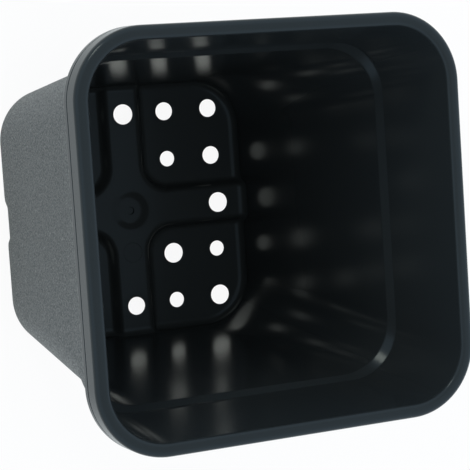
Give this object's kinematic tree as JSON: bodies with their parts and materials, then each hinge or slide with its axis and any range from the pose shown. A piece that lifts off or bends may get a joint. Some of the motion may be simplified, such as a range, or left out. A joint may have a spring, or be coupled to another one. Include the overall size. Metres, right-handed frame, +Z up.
{
  "type": "square plant pot",
  "caption": "Tapered square plant pot moulded in one piece, with a rolled rim, a stepped collar, rounded corners and a footed floor with drain holes.",
  "frame": {"origin": "on the ground under the middle of the pot", "axes": "+Z up through the mouth, X and Y square to the sides, with the round insert mark of the floor on the -Y side"},
  "size_m": [0.2508, 0.2508, 0.275],
  "materials": {
    "pot_plastic": "charcoal polypropylene, fine spark-eroded grain outside below the ledge, polished smooth inside and on the rim"
  },
  "bodies": {
    "root": {"plant_pot": "pot_plastic"}
  },
  "joints": []
}
